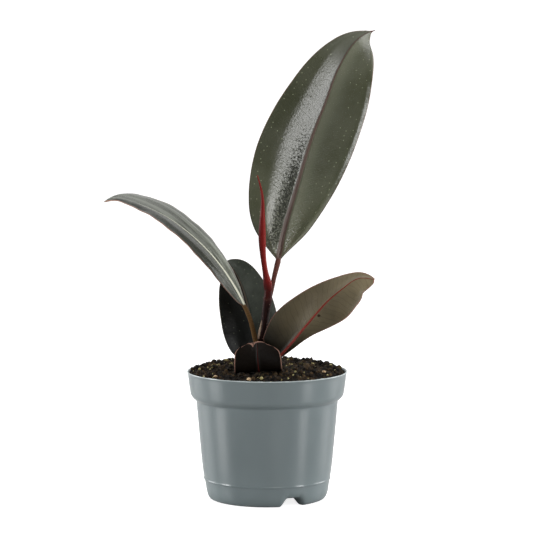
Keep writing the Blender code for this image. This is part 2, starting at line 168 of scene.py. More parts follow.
STEM_PATH = (  # x, y, z, radius
    (-5.4, 0, 68, 1.6),
    (-5.2, 0, 83, 2.6),
    (-5, 0, 96, 3.4),
    (-4.4, 0, 107.5, 3.3),
    (-2.8, 0, 123.5, 3.1),
    (-0.9, 0, 139.5, 3),
    (0.7, 0, 151.6, 3),
    (0.9, 0, 155.6, 2.5),
)
LEAF_SCARS = (98.6, 101.2, 108.5, 148.5)  # heights at which leaves joined the stem
SHEATH_PATH = (  # x, y, z, radius
    (0.9, -0.1, 154.2, 2.5),
    (0.4, -0.3, 159.3, 3.1),
    (-0.7, -0.8, 165.3, 2.4),
    (-1.9, -1.4, 172.3, 2),
    (-3.2, -2, 183.3, 2.3),
    (-3.7, -2.4, 193.3, 2.8),
    (-3.6, -2.6, 203.3, 2.5),
    (-3.4, -2.8, 213.3, 1.8),
    (-3.5, -3, 223.3, 1.2),
    (-5, -3.2, 232.3, 0.7),
    (-7.2, -3.4, 240.3, 0.35),
)
DRY_STIPULE_PATH = (  # x, y, z, radius
    (-6.4, -4.8, 119.8, 0.5),
    (-5.6, -4.9, 125.3, 0.8),
    (-4.6, -4.7, 129.8, 0.7),
    (-4, -4.4, 133.3, 0.3),
)

ACROSS = 45  # points across each face of a blade
BLADE_STATIONS = 120
PETIOLE_STATIONS = 18
BLADE_THICKNESS = 0.7
MARGIN_THICKNESS = 0.36
RIB_END_RADIUS = 0.25
PETIOLE_FLARE = 1.35  # how much wider a petiole is where it joins the stem
CROWDING = 1.35  # points across a blade crowd towards the midrib
PLAIN_LEAF = {"pleats": (), "tip": (0.0, 0.0, 0.0)}
LEAVES = {
    # joint: where the petiole leaves the stem's own wood
    # spine: x, y, z; the blade starts at the knot numbered blade_from
    # blade: share of the blade's length, left and right half-widths, seen facing the upper side
    # facing: direction of the upper side at the base and at the tip
    # fold: degrees by which the left and right halves rise towards the upper side, at the base and at the tip
    # crown: how far each half bulges, left and right, at the base and at the tip
    # curl: mm by which each margin bends back, left and right, and share of the half-width where it starts
    # ripple: mm and wavelength of the margin's waves
    # pleats: lengthwise swellings, each with its place across (-1 to 1), width and height in mm
    # tip: mm by which its corners are rounded off, place across of its notch, and depth of the notch in mm
    "leaf_top": {
        "joint": (1, 1.2, 148),
        "spine": (
            (3.2, 4.1, 154), (4.6, 5, 161.5), (7.9, 8.2, 175.2), (12, 14, 194.5), (18.4, 20, 217.1),
            (24.9, 26, 238.5), (36.5, 35, 273.8), (44.2, 39.5, 293), (50.7, 43.8, 310.8),
            (56.9, 47.6, 323.6), (63.5, 51, 333.6), (71.5, 54.2, 341), (81.1, 57, 345.2),
        ),
        "blade_from": 2,
        "petiole": (1.5, 2.1),
        "blade": (
            (0, 0, 0), (0.04, 9, 6), (0.1, 21.6, 15.9), (0.2, 32.3, 25.9), (0.3, 36.6, 33),
            (0.4, 37.9, 37.7), (0.5, 36.3, 39.7), (0.6, 33.2, 39.1), (0.7, 28.6, 36.6), (0.8, 21.2, 31.5),
            (0.88, 13.5, 23.5), (0.93, 7, 14.3), (0.96, 3, 6.3), (1, 0.4, 0.4),
        ),
        "facing": ((-0.15, -1, 0.2), (-0.25, -1, 0.25)),
        "fold": ((14, 24), (14, 24)),
        "crown": ((2, 0.4), (0.45, 0.35)),
        "curl": ((2, 0.5), (2.4, 0.89)),
        "ripple": (0.15, 41),
    },
    "leaf_left": {
        "joint": (-4.6, -0.9, 108),
        "spine": (
            (-8.2, -2.4, 117.2), (-12.9, -1.2, 134.5), (-16.2, -0.1, 142), (-30.8, 2, 167.3),
            (-49.2, 3, 189), (-63, 3.5, 200.9), (-75.9, 4, 209.7), (-90.5, 4, 216.6),
            (-99.7, 4, 220), (-110, 4.5, 222), (-120.5, 5, 220.2),
        ),
        "blade_from": 2,
        "petiole": (1.8, 1.6),
        "blade": (
            (0, 0, 0), (0.05, 5, 3), (0.1, 8, 5.5), (0.2, 13, 10), (0.3, 17, 15),
            (0.4, 20.5, 19.5), (0.5, 22.5, 23.5), (0.6, 23, 26.5), (0.7, 21, 28), (0.8, 15, 27),
            (0.88, 9.5, 22.5), (0.94, 5, 14.5), (1, 0.4, 0.4),
        ),
        "facing": ((0, -0.45, 1), (0.5, -0.05, 1)),
        "fold": ((7, 7), (7, 7)),
        "crown": ((0.5, 0.5), (0.4, 0.6)),
        "curl": ((2.6, 0.7), (0.9, 0.8)),
        "ripple": (0.25, 33),
        "pleats": ((0.5, 0.13, 0.75), (-0.5, 0.16, 0.55), (0.2, 0.07, 0.3)),
    },
    "leaf_back": {
        "joint": (-5, 1.2, 95.5),
        "spine": (
            (-5.6, 4.2, 97.6), (-6.6, 9, 99.8), (-9.4, 14.5, 112.3), (-12, 19.5, 127.3),
            (-15, 25.5, 142.5), (-19.5, 31.5, 156), (-25, 37, 166), (-32.5, 43, 172.5),
        ),
        "blade_from": 1,
        "petiole": (1.7, 1.6),
        "blade": (
            (0, 0, 0), (0.04, 9.5, 7), (0.1, 17, 12), (0.2, 21.5, 17), (0.3, 22.8, 19.5),
            (0.4, 22.8, 20.5), (0.5, 22.3, 20), (0.6, 21, 18.5), (0.7, 18.5, 16.5), (0.8, 14.5, 13.8),
            (0.9, 8, 8.8), (1, 0.4, 0.4),
        ),
        "facing": ((0.2, -1, 0.3), (-0.2, -1, 0.6)),
        "fold": ((14, 14), (14, 14)),
        "crown": ((0.5, 0.5), (0.5, 0.5)),
        "curl": ((0.4, 0.84), (0.4, 0.84)),
        "ripple": (0.2, 29),
        "pleats": ((0.45, 0.2, 0.4), (-0.55, 0.2, 0.3)),
    },
    "leaf_right": {
        "joint": (-3.6, -0.9, 100.6),
        "spine": (
            (-1.5, -2.9, 102.4), (4.5, -8, 104.3), (11.6, -12, 110.5), (23, -17, 124.3),
            (35.4, -22, 139.6), (45.7, -27, 151.4), (56.7, -32, 161.1), (66.5, -36, 167.6),
            (77.6, -40.5, 167.4),
        ),
        "blade_from": 1,
        "petiole": (1.7, 1.5),
        "blade": (
            (0, 0, 0), (0.05, 3.2, 14.5), (0.1, 5, 19), (0.2, 7, 22.5), (0.3, 9.4, 24),
            (0.4, 13.4, 23.3), (0.5, 17, 21.6), (0.6, 18.3, 19.4), (0.7, 17.4, 16.4), (0.8, 14.9, 12),
            (0.88, 12.1, 7.6), (0.94, 9.5, 4.6), (0.98, 5.8, 2.4), (1, 3, 1),
        ),
        "facing": ((-1.2, 1, -0.6), (0.6, 1, -0.6)),
        "fold": ((26, 26), (26, 26)),
        "crown": ((0.5, 0.5), (0.5, 0.5)),
        "curl": ((0.3, 0.84), (0.3, 0.84)),
        "ripple": (0.2, 31),
        "pleats": ((0.45, 0.2, 0.4), (-0.55, 0.2, 0.3)),
    },
    "leaf_front": {
        "joint": (-5, -1.2, 98.6),
        "spine": (
            (-5, -4.2, 99.2), (-5.2, -9, 98.3), (-5.5, -15, 97.5), (-6, -20, 98.3),
            (-6.6, -22.8, 103.4), (-7.1, -22.8, 111), (-7.6, -21, 119.8),
        ),
        "blade_from": 1,
        "petiole": (1.6, 1.5),
        "blade": (
            (0, 0, 0), (0.05, 10, 11), (0.12, 15, 16.5), (0.22, 16.6, 18),
            (0.35, 17, 18), (0.5, 17.2, 17.8), (0.65, 17, 17.6), (0.8, 16, 17.2),
            (0.9, 14, 16), (0.96, 11.6, 14), (1, 8, 10.5),
        ),
        "facing": ((0, 0.3, 1), (0, 1, 0.1)),
        "fold": ((-10, -10), (24, 24)),
        "crown": ((0.4, 0.4), (0.4, 0.4)),
        "curl": ((0.3, 0.84), (0.3, 0.84)),
        "ripple": (0.2, 23),
        "tip": (2.4, 0.28, 4),
    },
}

# ---------------------------------------------------------------- colours (linear)

VEIN_SPACING = 4.6
VEIN_SWEEP = 0.42  # how far a vein runs towards the tip for each mm across
CREASE_SLOPE = 0.16
DOT_SPACING = 5.4
MIDRIB_BLUR = 0.6  # half the width over which one half's look turns into the other's

# upper, under: each side's colour; upper_light: its paler clouds, streaks and veins
# rib_upper, rib_under: the midrib on each side, and rib_width, its half-width in petiole radii
# roughness, specular: of the whole skin; dots: strength of the pale dots near the margin
# halves, painted_end_light: painted light and shade, the brightness of the left and the right half, and of
# the base and the tip
# beside: how much paler each half is next to the midrib, a painted sheen; creased: strength of the creases
# and of their painted highlight
# broken: strength of the speckled patch, duller and painted dark as shade; tip_dull: roughness added at the
# tip of the left half
# nick: place across and along, in mm, and radius of a tear in the underside
PLAIN_LOOK = {
    "under": (0.075, 0.05, 0.035), "rib_under": (0.2, 0.03, 0.025), "dots": 0.0, "halves": (1.0, 1.0),
    "beside": (0.0, 0.0), "creased": 0.0, "broken": 0.0, "tip_dull": 0.0,
}
LEAF_LOOKS = {
    # painted light: this blade's base and tip are painted paler, and its right half a little paler
    "leaf_top": {
        "upper": (0.044, 0.047, 0.027), "upper_light": (0.062, 0.065, 0.043),
        "rib_upper": (0.085, 0.05, 0.036), "rib_width": 1.2,
        "margin": (0.13, 0.085, 0.055), "petiole": (0.06, 0.01, 0.003),
        "roughness": 0.23, "specular": 0.62, "dots": 0.5, "halves": (0.95, 1.1), "painted_end_light": (1.9, 1.45),
        "beside": (0.0, 0.55), "broken": 1.0, "tip_dull": 0.4,
    },
    # painted light and shade: this blade's left half is painted darker and its base paler
    "leaf_left": {
        "upper": (0.055, 0.06, 0.046), "upper_light": (0.11, 0.117, 0.098),
        "rib_upper": (0.46, 0.46, 0.37), "rib_width": 0.85,
        "margin": (0.28, 0.15, 0.1), "petiole": (0.05, 0.026, 0.008),
        "roughness": 0.3, "specular": 0.2, "dots": 0.25, "halves": (0.45, 0.95), "painted_end_light": (1.7, 1.15),
        "creased": 1.0,
    },
    # painted shadow: this leaf's upper side is painted very dark for the shadow of the left leaf, its left
    # half darker still and its right half paler
    "leaf_back": {
        "upper": (0.012, 0.014, 0.011), "upper_light": (0.026, 0.029, 0.024), "under": (0.05, 0.035, 0.025),
        "rib_upper": (0.05, 0.04, 0.03), "rib_under": (0.15, 0.03, 0.025), "rib_width": 0.8,
        "margin": (0.07, 0.055, 0.04), "petiole": (0.05, 0.02, 0.012),
        "roughness": 0.34, "specular": 0.14, "dots": 0.12, "halves": (0.25, 2.1), "painted_end_light": (0.6, 1.0),
        "creased": 0.06,
    },
    # painted shade: this blade's base is painted almost black and its tip paler
    "leaf_right": {
        "upper": (0.04, 0.043, 0.028), "upper_light": (0.06, 0.065, 0.05), "under": (0.082, 0.067, 0.04),
        "rib_upper": (0.12, 0.07, 0.05), "rib_under": (0.15, 0.02, 0.015), "rib_width": 1.0,
        "margin": (0.24, 0.12, 0.09), "petiole": (0.09, 0.02, 0.014),
        "roughness": 0.42, "specular": 0.12, "halves": (1.0, 0.95), "painted_end_light": (0.06, 1.8),
        "beside": (0.2, 0.1), "nick": (-2.4, 50.0, 1.2),
    },
    # painted shade: this leaf's underside and midrib are painted almost black for the shade it lies in,
    # darker still towards the base
    "leaf_front": {
        "upper": (0.03, 0.03, 0.022), "upper_light": (0.045, 0.045, 0.035), "under": (0.0038, 0.0026, 0.0018),
        "rib_upper": (0.08, 0.05, 0.04), "rib_under": (0.03, 0.0025, 0.002), "rib_width": 0.5,
        "margin": (0.3, 0.17, 0.13), "petiole": (0.02, 0.008, 0.006),
        "roughness": 0.5, "specular": 0.05, "painted_end_light": (0.4, 1.5),
    },
}


# ---------------------------------------------------------------- curves through a few knots


def natural_cubic(x, y, at):
    """Values at the parameters `at` of the natural cubic spline through the knots (x, y)."""
    count = len(x)
    step = np.diff(x)
    system = np.eye(count)
    right = np.zeros((count,) + y.shape[1:])
    for i in range(1, count - 1):
        system[i, i - 1] = step[i - 1]
        system[i, i] = 2 * (step[i - 1] + step[i])
        system[i, i + 1] = step[i]
        right[i] = 6 * ((y[i + 1] - y[i]) / step[i] - (y[i] - y[i - 1]) / step[i - 1])
    bend = np.linalg.solve(system, right)
    values = []
    for a in at:
        i = min(max(int(np.searchsorted(x, a)) - 1, 0), count - 2)
        h = step[i]
        before = x[i + 1] - a
        after = a - x[i]
        curved = (bend[i] * before**3 + bend[i + 1] * after**3) / (6 * h)
        straight = (y[i] / h - bend[i] * h / 6) * before + (y[i + 1] / h - bend[i + 1] * h / 6) * after
        values.append(curved + straight)
    return np.array(values)


def chord_reach(knots):
    """Share of the total chord length at which each knot lies."""
    steps = np.linalg.norm(np.diff(knots, axis=0), axis=1)
    reach = np.concatenate([[0.0], np.cumsum(steps)])
    return reach / reach[-1]


def unit(vectors):
    return vectors / np.linalg.norm(vectors, axis=-1, keepdims=True)


def along(knots, at):
    """Points at those shares of a smooth curve through the knots."""
    return natural_cubic(chord_reach(knots), knots, at)


def smooth_step(t):
    t = np.clip(t, 0.0, 1.0)
    return t * t * (3 - 2 * t)


def bearing_of(x, y):
    """Degrees from the front (-Y), turning towards +X."""
    return math.degrees(math.atan2(x, -y))


def on_bearing(bearing, distance):
    """The point at that bearing and distance from the pot's axis."""
    turn = math.radians(bearing - 90)
    return distance * math.cos(turn), distance * math.sin(turn)


# ---------------------------------------------------------------- meshes


def mesh_of(name, points, faces):
    """A smooth-shaded mesh in the frame, from points in millimetres about the pot's axis."""
    mesh = bpy.data.meshes.new(name)
    placed = [AXIS + Vector(point) * MM for point in points]
    mesh.from_pydata(placed, [], [tuple(int(i) for i in face) for face in faces])
    mesh.validate()
    mesh.shade_smooth()
    return mesh


def put_attribute(mesh, name, values):
    attribute = mesh.attributes.new(name, "FLOAT", "POINT")
    attribute.data.foreach_set("value", np.asarray(values, np.float32))


def ring_faces(rings, around):
    """Quads between successive rings of points, with one face as the cap at each end."""
    faces = []
    for i in range(rings - 1):
        for k in range(around):
            a, b = i * around + k, i * around + (k + 1) % around
            faces.append((a, b, b + around, a + around))
    faces.append(tuple(range(around))[::-1])
    faces.append(tuple(range((rings - 1) * around, rings * around)))
    return faces


def face_outwards(mesh):
    shell = bmesh.new()
    shell.from_mesh(mesh)
    bmesh.ops.recalc_face_normals(shell, faces=shell.faces)
    shell.to_mesh(mesh)
    shell.free()


def new_object(name, data):
    made = bpy.data.objects.new(name, data)
    bpy.context.scene.collection.objects.link(made)
    return made


def add_piece(name, mesh, material, slot, *nodes):
    """A piece of the object: it rides on the one body, and stands for the CAD nodes named."""
    piece = new_object(name, mesh)
    mesh.materials.append(material)
    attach(piece, ROOT)
    if nodes:
        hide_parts(*nodes)
    return piece


# ---------------------------------------------------------------- materials


class Nodes:
    """A node tree, and short names for the nodes that fill it."""

    def __init__(self, tree):
        self.tree = tree

    def put(self, socket, value):
        if isinstance(value, bpy.types.NodeSocket):
            self.tree.links.new(value, socket)
        elif isinstance(value, tuple) and len(value) == 3 and socket.type == "RGBA":
            socket.default_value = (*value, 1.0)
        else:
            socket.default_value = value

    def node(self, kind, given=None, **settings):
        """A new node with some of its inputs given, by number or name."""
        made = self.tree.nodes.new(kind)
        for key, value in settings.items():
            setattr(made, key, value)
        for key, value in (given or {}).items():
            self.put(made.inputs[key], value)
        return made

    def math(self, operation, a, b=0.0):
        return self.node("ShaderNodeMath", {0: a, 1: b}, operation=operation).outputs[0]

    def times(self, product, *factors):
        for factor in factors:
            product = self.math("MULTIPLY", product, factor)
        return product

    def plus(self, total, *terms):
        for term in terms:
            total = self.math("ADD", total, term)
        return total

    def step(self, value, low, high, bottom=0.0, top=1.0):
        """Smooth step of the value from low to high, from bottom to top."""
        given = dict(enumerate((value, low, high, bottom, top)))
        return self.node("ShaderNodeMapRange", given, interpolation_type="SMOOTHSTEP").outputs[0]

    def mix(self, factor, a, b):
        return self.node("ShaderNodeMix", {"Factor": factor, 6: a, 7: b}, data_type="RGBA").outputs[2]

    def scale(self, colour, factor):
        """The colour times a value."""
        return self.node("ShaderNodeVectorMath", {0: colour, "Scale": factor}, operation="SCALE").outputs[0]

    def attribute(self, name):
        return self.node("ShaderNodeAttribute", attribute_name=name).outputs["Fac"]

    def vector(self, x, y, z=0.0):
        return self.node("ShaderNodeCombineXYZ", {0: x, 1: y, 2: z}).outputs[0]

    def apart(self, vector):
        return self.node("ShaderNodeSeparateXYZ", {0: vector}).outputs

    def place(self, stretch=(1.0, 1.0, 1.0)):
        """Object coordinates in millimetres, each axis divided by its stretch."""
        source = self.node("ShaderNodeTexCoord").outputs["Object"]
        scale = [1 / (MM * s) for s in stretch]
        return self.node("ShaderNodeMapping", {"Vector": source, "Scale": scale}).outputs[0]

    def noise(self, vector, size, detail=3.0, roughness=0.55):
        """Fractal noise from 0 to 1 with features of that size, in the vector's own units."""
        given = {"Vector": vector, "Scale": 1 / size, "Detail": detail, "Roughness": roughness}
        return self.node("ShaderNodeTexNoise", given).outputs["Fac"]

    def cells(self, vector, size, randomness=1.0, dimensions="3D"):
        """(distance to the nearest cell centre in the vector's units, a random value for each cell)."""
        given = {"Vector": vector, "Scale": 1 / size, "Randomness": randomness}
        made = self.node("ShaderNodeTexVoronoi", given, voronoi_dimensions=dimensions)
        shade = self.node("ShaderNodeSeparateColor", {0: made.outputs["Color"]})
        return self.times(made.outputs["Distance"], size), shade.outputs[0]


class Paint(Nodes):
    """One Principled material."""

    def __init__(self, name, roughness, specular):
        self.material = bpy.data.materials.new(name)
        self.material.use_nodes = True
        super().__init__(self.material.node_tree)
        self.shader = self.tree.nodes["Principled BSDF"]
        self.set("Roughness", roughness)
        self.set("Specular IOR Level", specular)

    def set(self, name, value):
        self.put(self.shader.inputs[name], value)

    def bump(self, height, depth_mm):
        """Bumps of that depth where the height runs from 0 to 1."""
        made = self.node("ShaderNodeBump", {"Distance": depth_mm * MM, "Height": height})
        self.set("Normal", made.outputs[0])


def toned(colour, factor):
    return tuple(part * factor for part in colour)


def by_half(paint, leaf, values):
    """The first value on the left half of the blade and the second on the right half."""
    return paint.step(leaf.across, -MIDRIB_BLUR, MIDRIB_BLUR, *values)


def lateral_veins(paint, leaf):
    """Veins that are close, almost straight and a little swept towards the tip, with finer ones between."""

    def lines(phase, start):
        off = paint.math("SUBTRACT", paint.math("FRACT", phase), 0.5)
        return paint.step(paint.math("ABSOLUTE", off), start, 0.49)

    sway = paint.times(paint.noise(leaf.flat, 9.0, 2.0), 1.1)
    phase = paint.plus(paint.math("DIVIDE", leaf.swept, VEIN_SPACING), sway)
    finer = lines(paint.times(phase, 3.0), 0.38)
    return paint.math("MAXIMUM", lines(phase, 0.36), paint.times(finer, 0.4))


def soft_creases(paint, leaf):
    """Soft creases that leave the midrib at a narrow angle."""
    slant = paint.math("SUBTRACT", leaf.away, paint.times(leaf.length, CREASE_SLOPE))
    drawn = paint.vector(slant, paint.times(leaf.length, 0.07), by_half(paint, leaf, (0.0, 1.0)))
    return paint.noise(drawn, 4.2, 3.0, 0.6)


def broken_patch(paint, leaf):
    """A speckled patch beside the lower midrib, on the left half, painted dark as shade where the sheen is
    missing.
    """
    patch = paint.times(
        paint.step(leaf.length, 6.0, 16.0),
        paint.step(leaf.length, 120.0, 50.0),
        paint.step(leaf.across, -14.0, -6.0),
        paint.step(leaf.across, -1.6, -3.0),
    )
    grain = paint.plus(paint.noise(leaf.flat, 1.4, 4.0, 0.75), paint.times(patch, 0.165))
    return paint.times(paint.step(grain, 0.55, 0.68), paint.step(patch, 0.0, 0.2))


def pale_dots(paint, leaf):
    """Small pale dots that thin out away from the margin."""
    far, chance = paint.cells(leaf.flat, DOT_SPACING, 0.8, "2D")
    near_margin = paint.times(paint.step(leaf.edge, 6.0, 21.0, 0.6, 0.0), paint.step(leaf.edge, 1.0, 2.0))
    return paint.times(paint.step(far, 0.52, 0.3), paint.math("LESS_THAN", chance, near_margin))


def leaf_patterns(paint, look):
    """What both sides of a leaf are drawn with: places on the blade in mm, and patterns from 0 to 1."""
    leaf = SimpleNamespace()
    leaf.across = paint.attribute("across")
    leaf.length = paint.attribute("along")
    leaf.share = paint.attribute("share")
    leaf.edge = paint.attribute("edge")
    leaf.rib = paint.attribute("rib")
    leaf.upper = paint.step(paint.attribute("upper"), 0.3, 0.7)
    leaf.blade = paint.step(paint.attribute("blade"), 0.25, 0.8)
    leaf.away = paint.math("ABSOLUTE", leaf.across)
    leaf.flat = paint.vector(leaf.across, leaf.length, paint.times(leaf.upper, 60.0))
    leaf.swept = paint.math("SUBTRACT", leaf.length, paint.times(leaf.away, VEIN_SWEEP))
    streaked = paint.vector(paint.times(leaf.across, 0.35), leaf.swept, leaf.upper)

    leaf.cloud = paint.noise(leaf.flat, 26.0, 3.0)
    leaf.fleck = paint.noise(leaf.flat, 1.0, 3.0, 0.65)
    leaf.streak = paint.noise(streaked, 1.4, 3.0, 0.6)
    leaf.mottle = paint.noise(leaf.flat, 1.7, 2.0, 0.55)
    leaf.vein = lateral_veins(paint, leaf)
    leaf.crease = soft_creases(paint, leaf)
    leaf.creased = paint.times(paint.step(leaf.crease, 0.48, 0.62), look["creased"])
    leaf.broken = paint.times(broken_patch(paint, leaf), look["broken"])
    leaf.dot = paint.times(pale_dots(paint, leaf), look["dots"])
    leaf.on_rib = paint.step(leaf.rib, look["rib_width"], look["rib_width"] * 0.7)
    # painted light and shade: each half, and the base and the tip of the blade, are painted darker or paler
    # where the lamps fall less or more
    leaf.shade = paint.times(
        by_half(paint, leaf, look["halves"]),
        paint.step(leaf.share, 0.05, 0.45, look["painted_end_light"][0], 1.0),
        paint.step(leaf.share, 0.6, 1.0, 1.0, look["painted_end_light"][1]),
    )
    return leaf


def upper_side(paint, look, leaf):
    light = look["upper_light"]
    green = paint.mix(paint.step(leaf.cloud, 0.3, 0.75), look["upper"], light)
    green = paint.mix(paint.times(paint.step(leaf.streak, 0.5, 0.75), 0.35), green, light)
    green = paint.mix(paint.times(leaf.vein, 0.15), green, light)
    # painted sheen: each half is painted paler next to the midrib, as the lamps' reflection would make it
    beside = paint.times(paint.step(leaf.away, 15.0, 2.5), by_half(paint, leaf, look["beside"]))
    green = paint.mix(beside, green, toned(light, 1.7))
    # painted highlight: the creases are painted paler, as their reflections would make them
    green = paint.mix(leaf.creased, green, toned(light, 1.45))
    green = paint.scale(green, leaf.shade)
    # painted shade: the speckled patch is painted almost black, where the sheen is missing
    green = paint.mix(paint.times(leaf.broken, 0.8), green, (0.004, 0.005, 0.003))
    green = paint.mix(leaf.dot, green, (0.34, 0.37, 0.24))
    # painted shade: a soft darker band along the midrib, partly back to the plain upper colour
    painted_groove_shade = paint.times(paint.step(leaf.rib, 2.2, 1.4), 0.35)
    green = paint.mix(painted_groove_shade, green, look["upper"])
    return paint.mix(leaf.on_rib, green, look["rib_upper"])


def underside(paint, look, leaf):
    tan = paint.mix(paint.step(leaf.cloud, 0.3, 0.75), look["under"], toned(look["under"], 1.35))
    tan = paint.mix(paint.times(leaf.vein, 0.3), tan, toned(look["under"], 0.55))
    tan = paint.scale(tan, leaf.shade)
    tan = paint.mix(leaf.on_rib, tan, look["rib_under"])
    return with_nick(paint, look["nick"], leaf, tan) if "nick" in look else tan


def with_nick(paint, nick, leaf, skin):
    """The skin with a small, dark, ragged tear in it."""
    across, length, radius = nick
    off = paint.vector(
        paint.math("SUBTRACT", leaf.across, across),
        paint.math("SUBTRACT", leaf.length, length),
    )
    reach = paint.node("ShaderNodeVectorMath", {0: off}, operation="LENGTH")
    ragged = paint.plus(reach.outputs["Value"], paint.times(leaf.fleck, 0.6))
    return paint.mix(paint.step(ragged, radius + 0.5, radius), skin, (0.02, 0.008, 0.004))


def leaf_sheen(paint, look, leaf):
    """Speckled; duller on the patch, the left half's tip, the creases, the midrib and the petiole."""
    base = look["roughness"]
    rough = paint.plus(
        paint.step(leaf.fleck, 0.35, 0.75, base - 0.04, base + 0.06),
        paint.times(leaf.broken, 0.75),
        paint.times(paint.step(leaf.share, 0.76, 0.9), by_half(paint, leaf, (look["tip_dull"], 0.0))),
        paint.times(leaf.creased, 0.12),
        paint.times(leaf.on_rib, 0.25),
        paint.step(paint.attribute("blade"), 0.8, 0.25, 0.0, 0.35),
    )
    paint.set("Roughness", rough)
    height = paint.plus(
        paint.times(leaf.vein, 0.25),
        paint.times(leaf.streak, 0.35),
        paint.times(leaf.fleck, 0.6),
        paint.times(leaf.dot, 0.4),
        paint.times(leaf.mottle, 1.3),
        paint.times(leaf.crease, 4.0 * look["creased"]),
    )
    paint.bump(paint.times(height, leaf.blade), 0.1)


def leaf_material(name, look):
    paint = Paint(name, look["roughness"], look["specular"])
    leaf = leaf_patterns(paint, look)
    skin = paint.mix(leaf.upper, underside(paint, look, leaf), upper_side(paint, look, leaf))
    margin = paint.plus(leaf.edge, paint.times(paint.noise(leaf.flat, 3.0), 0.3))
    # painted shade: the margin's colour is painted darker towards the base of the blade
    rim = paint.scale(look["margin"], paint.step(leaf.share, 0.15, 0.6, 0.35, 1.0))
    skin = paint.mix(paint.step(margin, 0.95, 0.45), skin, rim)
    stalk = paint.mix(paint.step(leaf.fleck, 0.35, 0.7), look["petiole"], toned(look["petiole"], 1.7))
    paint.set("Base Color", paint.mix(leaf.blade, stalk, skin))
    leaf_sheen(paint, look, leaf)
    return paint.material


def pot_material():
    paint = Paint("blue_grey_plastic", 0.36, 0.5)
    wide = paint.noise(paint.place((30.0, 30.0, 60.0)), 1.0, 2.0)
    fine = paint.noise(paint.place(), 0.5, 3.0)
    lines = paint.noise(paint.place((9.0, 9.0, 0.35)), 1.0, 2.0)
    base = paint.mix(paint.step(wide, 0.3, 0.7), (0.113, 0.139, 0.144), (0.124, 0.151, 0.156))
    level = paint.apart(paint.place())["Z"]
    # painted highlight: the top of the lip is painted pale, a light line along the rim
    lip = paint.plus(level, paint.times(wide, 0.4))
    # painted light: the lower wall is painted up to a fifth paler towards the bottom, for light bounced up
    # from the floor
    base = paint.scale(base, paint.step(level, 40.0, 4.0, 1.0, 1.2))
    paint.set("Base Color", paint.mix(paint.step(lip, 94.7, 95.2), base, (0.4, 0.45, 0.45)))
    paint.set("Roughness", paint.step(fine, 0.25, 0.75, 0.28, 0.32))
    height = paint.plus(paint.times(lines, 0.7), paint.times(fine, 0.3))
    paint.bump(height, 0.03)
    tangent = paint.node("ShaderNodeTangent", direction_type="RADIAL", axis="Z")
    paint.set("Tangent", tangent.outputs[0])
    paint.set("Anisotropic", 0.85)
    paint.set("Anisotropic Rotation", 0.25)
    return paint.material


def soil_material():
    paint = Paint("potting_soil", 0.95, 0.25)
    tone = paint.attribute("tone")
    spot = paint.noise(paint.place(), 2.2, 4.0, 0.65)
    fine = paint.noise(paint.place(), 0.5, 3.0, 0.7)
    patch = paint.noise(paint.place(), 9.0, 2.0)
    dark = paint.mix(paint.step(spot, 0.45, 0.62), (0.0022, 0.0015, 0.001), (0.032, 0.019, 0.009))
    shade = paint.mix(paint.step(tone, 0.55, 0.95), dark, (0.07, 0.042, 0.018))
    shade = paint.mix(paint.times(fine, 0.15), shade, (0.045, 0.03, 0.014))
    shade = paint.scale(shade, paint.step(patch, 0.35, 0.6, 0.35, 1.3))
    mossy = paint.times(paint.step(paint.noise(paint.place(), 4.5, 3.0), 0.6, 0.72), 0.6)
    paint.set("Base Color", paint.mix(mossy, shade, (0.085, 0.075, 0.02)))
    paint.bump(paint.plus(spot, fine), 0.7)
    return paint.material


def grit_material(name, light, dark, size):
    """Pale mineral or woody grains, pitted and stained."""
    paint = Paint(name, 0.88, 0.3)
    spot = paint.noise(paint.place(), size, 4.0, 0.65)
    stain = paint.noise(paint.place(), size * 3, 2.0)
    base = paint.mix(paint.step(spot, 0.35, 0.65), dark, light)
    paint.set("Base Color", paint.mix(paint.times(paint.step(stain, 0.5, 0.8), 0.5), base, dark))
    paint.bump(spot, 0.3)
    return paint.material


def stem_material():
    paint = Paint("stem_bark", 0.5, 0.08)
    grain = paint.noise(paint.place((0.6, 0.6, 5.0)), 1.0, 3.0)
    spot, chance = paint.cells(paint.place((1.0, 1.0, 1.4)), 1.6)
    base = paint.mix(paint.step(grain, 0.35, 0.7), (0.006, 0.0015, 0.0012), (0.018, 0.004, 0.003))
    lenticel = paint.times(paint.step(spot, 0.42, 0.2), paint.math("LESS_THAN", chance, 0.3))
    base = paint.mix(paint.times(lenticel, 0.6), base, (0.16, 0.1, 0.07))
    base = paint.mix(paint.times(paint.attribute("scar"), 0.5), base, (0.06, 0.03, 0.022))
    paint.set("Base Color", paint.mix(paint.attribute("young"), base, (0.04, 0.004, 0.003)))
    paint.bump(paint.plus(grain, lenticel), 0.12)
    return paint.material


def sheath_material():
    paint = Paint("sheath_skin", 0.38, 0.08)
    grain = paint.noise(paint.place((0.45, 0.45, 7.0)), 1.0, 3.0)
    blush = paint.attribute("blush")
    base = paint.mix(blush, (0.085, 0.003, 0.003), (0.24, 0.016, 0.012))
    base = paint.mix(paint.times(paint.step(grain, 0.5, 0.8), 0.3), base, (0.3, 0.05, 0.035))
    base = paint.mix(paint.times(paint.attribute("foot"), 0.85), base, (0.03, 0.004, 0.003))
    paint.set("Base Color", base)
    paint.set("Roughness", paint.step(grain, 0.3, 0.7, 0.34, 0.46))
    paint.bump(grain, 0.12)
    return paint.material


def dry_material():
    paint = Paint("dry_stipule_skin", 0.8, 0.3)
    grain = paint.noise(paint.place((0.4, 0.4, 4.0)), 1.0, 3.0)
    paint.set("Base Color", paint.mix(paint.step(grain, 0.3, 0.7), (0.12, 0.07, 0.045), (0.3, 0.22, 0.16)))
    paint.bump(grain, 0.15)
    return paint.material


# ---------------------------------------------------------------- pot


